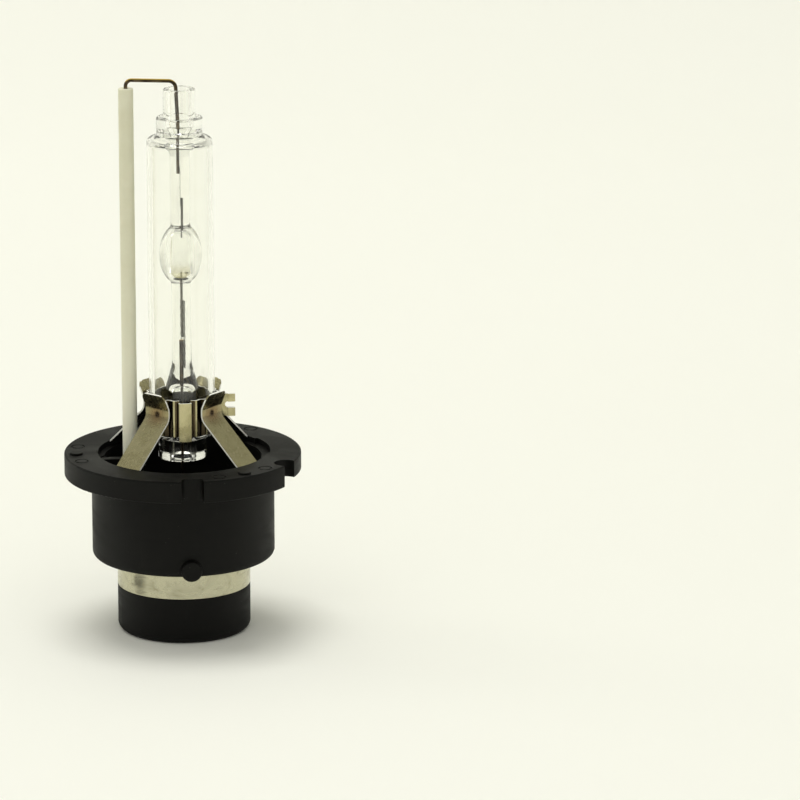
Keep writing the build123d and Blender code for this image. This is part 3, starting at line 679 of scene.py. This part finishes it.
lug_x = LUG_SHEET + WIRE_RADIUS + 0.03 - BAND_RADIUS
foil_x, foil_y = beside_foil(SEALED_WIRE_RADIUS, UPPER_TURN + math.pi)
run = bent([
    (foil_x, foil_y, 44.0),
    (foil_x - 0.3, 0, TOP_Z - 0.28),
    (RETURN_X, 0, TOP_Z),
    (RETURN_X, 0, LUG_BEND_TOP_Z),
    (lug_x, 0, LUG_BEND_FOOT_Z),
    (lug_x, 0, RETURN_FOOT_Z),
], [1.0, 0.75, 0.7, 0.7])
thick = round_wire("return_wire_run", run, WIRE_RADIUS)
sealed = [(foil_x, foil_y, z) for z in (SEALED_END_Z, 40.0, 42.0, 44.2)]
thin = round_wire("return_wire_sealed_end", sealed, SEALED_WIRE_RADIUS)
for piece in (thick, thin):
    stand_for(piece, "return_wire", LEAD)

lead_x, lead_y = beside_foil(LOWER_LEAD_RADIUS, LOWER_TURN, LOWER_SHIFT)
lead = [(lead_x, lead_y, z) for z in (LOWER_LEAD_TOP_Z, 9.0, 0.0, -12.0, LOWER_LEAD_FOOT_Z)]
stand_for(round_wire("lower_lead_run", lead, LOWER_LEAD_RADIUS), "lower_lead_wire", LEAD)


def electrode(name, node, turn, shift, tip_z, root_z):
    """Rod with a rounded tip."""
    x, y = beside_foil(ELECTRODE_RADIUS, turn, shift)
    path = [(x, y, root_z), (x, y, (tip_z + root_z) / 2), (x, y, tip_z)]
    rod = round_wire(name, path, ELECTRODE_RADIUS, 18, 0.8)
    stand_for(rod, node, TUNGSTEN)


upper_tip, lower_tip = LIGHT_CENTRE_Z + ARC_GAP / 2, LIGHT_CENTRE_Z - ARC_GAP / 2
electrode("upper_electrode_rod", "upper_electrode", UPPER_TURN, 0.0, upper_tip, UPPER_ROOT_Z)
electrode("lower_electrode_rod", "lower_electrode", LOWER_TURN, LOWER_SHIFT, lower_tip, LOWER_ROOT_Z)


def foil(name, node, low, high, turn, shift=0.0):
    """Feather-edged foil with slight creases."""
    rows, columns = 60, 10
    vertices, faces = [], []
    for side in (1, -1):
        for i in range(rows + 1):
            z = low + (high - low) * i / rows
            for j in range(columns + 1):
                v = -1 + 2 * j / columns
                thick = FOIL_HALF * (1 - 0.85 * v * v)
                ripple = 0.018 * math.sin(z * 5.3 + v * 2.1) + 0.012 * math.sin(z * 11.7 - v * 3.3)
                depth = side * thick + ripple - shift
                y = v * FOIL_WIDTH / 2
                vertices.append((depth * math.cos(turn) - y * math.sin(turn),
                                 depth * math.sin(turn) + y * math.cos(turn), z))
    sheet = (rows + 1) * (columns + 1)
    for i in range(rows):
        for j in range(columns):
            a = i * (columns + 1) + j
            b = a + columns + 1
            faces.append((a, a + 1, b + 1, b))
            faces.append((sheet + a, sheet + b, sheet + b + 1, sheet + a + 1))
    for i in range(rows):
        for j, flip in ((0, False), (columns, True)):
            a = i * (columns + 1) + j
            b = a + columns + 1
            quad = (a, b, sheet + b, sheet + a)
            faces.append(quad[::-1] if flip else quad)
    for j in range(columns):
        for i, flip in ((0, False), (rows, True)):
            a = i * (columns + 1) + j
            quad = (a, a + 1, sheet + a + 1, sheet + a)
            faces.append(quad[::-1] if flip else quad)
    stand_for(new_object(name, vertices, faces, 50), node, FOIL)


foil("upper_foil_strip", "upper_foil", *UPPER_FOIL, UPPER_TURN)
foil("lower_foil_strip", "lower_foil", *LOWER_FOIL, LOWER_TURN, LOWER_SHIFT)

# --- Ceramic tube ---------------------------------------------------------------------------------------


def drawn(z, angle):
    """Slight out-of-round and waviness of an extruded tube."""
    return 0.004 * math.sin(2 * angle + 0.05 * z) + 0.003 * math.sin(z * 0.7)


tube = turned("ceramic_sleeve", [rounded([
    (CERAMIC_BORE, CERAMIC_TOP_Z - 2.5),
    (CERAMIC_BORE, CERAMIC_TOP_Z, 0.06),
    (CERAMIC_RADIUS, CERAMIC_TOP_Z, 0.14),
    (CERAMIC_RADIUS, CERAMIC_FOOT_Z, 0.08),
    (CERAMIC_BORE, CERAMIC_FOOT_Z, 0.04),
    (CERAMIC_BORE, CERAMIC_TOP_Z - 2.5),
], 5)], x=RETURN_X, wobble=drawn, smooth_angle=50)
stand_for(tube, "ceramic_tube", CERAMIC)

# --- Fill -----------------------------------------------------------------------------------------------

salt_top = LIGHT_CENTRE_Z - CAVITY_HALF + SALT_HEIGHT
film = []
for r, z in cavity:
    if z < salt_top:
        film.append((max(r - SALT_INSET, 0.0), z + SALT_INSET * (1 if r < 0.6 else 0.2)))
film.append((CAVITY_RADIUS - SALT_INSET, salt_top))
salt = turned("halide_salt_film", [film[::-1]], smooth_angle=60)
stand_for(salt, "salt_pool", SALT)

bead_points = []
for k in range(25):
    t = math.pi * k / 24
    squat = 1.0 + 0.12 * math.sin(t) - 0.05 * math.cos(2 * t)
    bead_points.append((BEAD_RADIUS * math.sin(t) * squat, BEAD_RADIUS * math.cos(t)))
bead = turned("mercury_droplet", [bead_points], smooth_angle=80)
for vertex in bead.data.vertices:
    vertex.co += Vector(BEAD_AT) * MM
stand_for(bead, "mercury_bead", MERCURY)

# --- Stage: seamless backdrop, lights, camera -----------------------------------------------------------

FLOOR_Z = PLUG_BOTTOM_Z


def seamless():
    """Pale paper sweep: floor that curves up into a wall behind the lamp."""
    near, back, radius, top, half_width = -1500.0, 650.0, 350.0, 1500.0, 1600.0
    line = [(near, 0.0), (back - radius, 0.0)]
    for k in range(1, 25):
        t = math.pi / 2 * k / 24
        line.append((back - radius + radius * math.sin(t), radius - radius * math.cos(t)))
    line.append((back, top))
    vertices, faces = [], []
    for y, z in line:
        vertices += [(-half_width, y, FLOOR_Z + z), (half_width, y, FLOOR_Z + z)]
    for i in range(len(line) - 1):
        a = 2 * i
        faces.append((a, a + 1, a + 3, a + 2))
    sweep = new_object("paper_sweep", vertices, faces, 60)
    s = Shade("paper")
    fibre = s.noise(900, 3)
    base = s.mix(s.ramp(s.noise(3.0, 2), 0.3, 0.7), (0.915, 0.915, 0.85), (0.93, 0.93, 0.87))
    normal = s.bump(fibre, 0.02, 0.15)
    front = s.surface(Base_Color=base, Roughness=0.9, Normal=normal, Specular_IOR_Level=0.1)
    # Clear from behind, so the lamp can be looked at from underneath
    behind = s.add("ShaderNodeNewGeometry").outputs["Backfacing"]
    clear = s.add("ShaderNodeBsdfTransparent").outputs[0]
    s.finish(s.add("ShaderNodeMixShader", {0: behind, 1: front, 2: clear}).outputs[0])
    sweep.data.materials.append(s.material)


seamless()


def surroundings():
    """Bright behind and above, dimmer on the camera's side, as in a small photo tent."""
    world = bpy.data.worlds.new("tent")
    bpy.context.scene.world = world
    world.use_nodes = True
    sky = Nodes(world.node_tree)
    place = sky.add("ShaderNodeTexCoord").outputs["Generated"]
    depth = sky.add("ShaderNodeSeparateXYZ", {"Vector": place}).outputs["Y"]
    rays = sky.add("ShaderNodeLightPath").outputs
    # Mirrors see a dim front and a bright back
    colour = sky.mix(sky.ramp(depth, -0.85, 0.15), (0.16, 0.158, 0.14), (0.66, 0.66, 0.63))
    # Rays leaving the glass see a black front, which draws the dark lines along its bends
    through = sky.mix(sky.ramp(depth, -0.35, 0.25), (0.01, 0.01, 0.008), (0.80, 0.80, 0.75))
    colour = sky.mix(rays["Is Transmission Ray"], colour, through)
    # Matt surfaces see the tent's even glow
    colour = sky.mix(rays["Is Diffuse Ray"], colour, (0.43, 0.43, 0.395))
    background = sky.add("ShaderNodeBackground", {"Color": colour, "Strength": 1.0}).outputs[0]
    sky.add("ShaderNodeOutputWorld", {"Surface": background})


surroundings()


def softbox(name, place, size, power, mirrored=False):
    """Large soft light aimed at the lamp; only a mirrored one shows in the lamp's polished parts."""
    light = bpy.data.lights.new(name, "AREA")
    light.shape = "RECTANGLE"
    light.size, light.size_y = size
    light.energy = power
    light.color = (1.0, 0.995, 0.965)
    obj = bpy.data.objects.new(name, light)
    obj.visible_glossy = mirrored
    obj.location = place
    obj.rotation_euler = (Vector((0.0, 0.0, 0.01)) - Vector(place)).to_track_quat("-Z", "Y").to_euler()
    bpy.context.scene.collection.objects.link(obj)


softbox("overhead", (-0.05, 0.10, 1.10), (0.5, 0.5), 5.1)
softbox("front", (-0.15, -0.80, 0.90), (1.6, 1.2), 3.5)
softbox("left", (-0.95, 0.55, 0.40), (0.35, 0.8), 1.4, mirrored=True)

# Lens, place and aim of the camera, in millimetres in the lamp's frame
FOCAL_MM = 246.24
SENSOR_MM = 36.0
CAMERA_AT = Vector((-57.244, -711.473, 195.016)) * MM
CAMERA_AIM = Vector((29.422, -1.238, 6.191)) * MM

camera_data = bpy.data.cameras.new("camera")
camera_data.lens = FOCAL_MM
camera_data.sensor_width = SENSOR_MM
camera_data.clip_start = 0.05
camera = bpy.data.objects.new("camera", camera_data)
camera.location = CAMERA_AT
camera.rotation_euler = (CAMERA_AIM - CAMERA_AT).to_track_quat("-Z", "Y").to_euler()
bpy.context.scene.collection.objects.link(camera)
bpy.context.scene.camera = camera

scene = bpy.context.scene
scene.view_settings.view_transform = "Standard"
scene.cycles.max_bounces = 24
scene.cycles.transmission_bounces = 20
scene.cycles.transparent_max_bounces = 24
scene.cycles.glossy_bounces = 8
scene.cycles.caustics_reflective = False
scene.cycles.caustics_refractive = False
